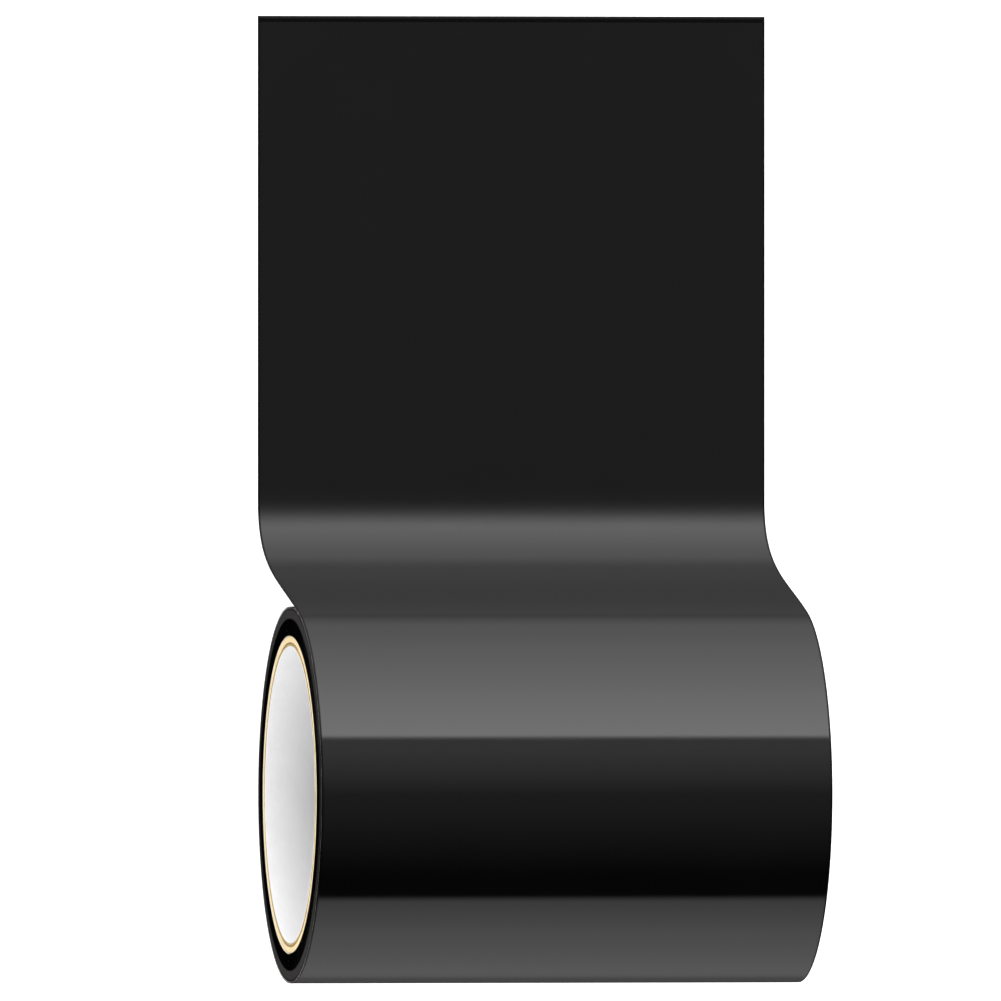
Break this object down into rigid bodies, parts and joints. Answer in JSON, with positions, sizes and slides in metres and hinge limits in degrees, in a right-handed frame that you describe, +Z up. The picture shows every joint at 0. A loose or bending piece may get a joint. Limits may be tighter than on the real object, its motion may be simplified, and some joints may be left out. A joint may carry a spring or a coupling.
{
  "type": "roll of sign vinyl",
  "caption": "Roll of black self-adhesive sign vinyl on a paper core, with its free end paid out flat; the roll turns, the end lifts and the film peels.",
  "frame": {"origin": "middle of the core's bore", "axes": "+X along the roll's axis, +Y towards the free end of the sheet, +Z up from the table"},
  "size_m": [0.134, 0.2513, 0.0979],
  "materials": {
    "core_white_paper": "smooth white paper ply that lines the core",
    "core_kraft_paper": "matt kraft paperboard, cut edges showing at both ends",
    "start_tape": "thin cream double-sided tape",
    "release_liner": "silicone-coated white paper, slight sheen",
    "vinyl_film": "glossy black calendered vinyl"
  },
  "bodies": {
    "web": {"outer_wrap_liner": "release_liner", "outer_wrap_film": "vinyl_film", "runoff_liner": "release_liner", "runoff_film": "vinyl_film", "payout_liner": "release_liner", "payout_film": "vinyl_film"},
    "roll": {"core_white_ply": "core_white_paper", "core_kraft_ply_1": "core_kraft_paper", "core_kraft_ply_2": "core_kraft_paper", "core_kraft_ply_3": "core_kraft_paper", "core_kraft_ply_4": "core_kraft_paper", "core_kraft_ply_5": "core_kraft_paper", "start_tape": "start_tape", "wound_liner": "release_liner", "wound_film": "vinyl_film"},
    "tail": {"tail_liner": "release_liner", "tail_film": "vinyl_film"},
    "tail_end": {"tail_end_liner": "release_liner", "tail_end_film": "vinyl_film"},
    "film_tab": {"film_tab": "vinyl_film"}
  },
  "joints": [
    {"name": "roll_turn", "type": "hinge", "parent": "web", "child": "roll", "pos_m": [0, 0, 0], "axis": [-1, 0, 0], "range_deg": [-30, 360]},
    {"name": "pay_out", "type": "slide", "parent": "web", "child": "tail", "axis": [0, 1, 0], "range_m": [-0.0257, 0.3069], "deforming": ["payout_liner", "payout_film"]},
    {"name": "tail_lift", "type": "hinge", "parent": "tail", "child": "tail_end", "pos_m": [0, 0.145, -0.04869], "axis": [1, 0, 0], "range_deg": [0, 90]},
    {"name": "film_peel", "type": "hinge", "parent": "tail_end", "child": "film_tab", "pos_m": [0, 0.1703, -0.04869], "axis": [1, 0, 0], "range_deg": [0, 120]}
  ],
  "couplings": [
    {"joint": "pay_out", "follows": "roll_turn", "m_per_rad": 0.048806}
  ]
}
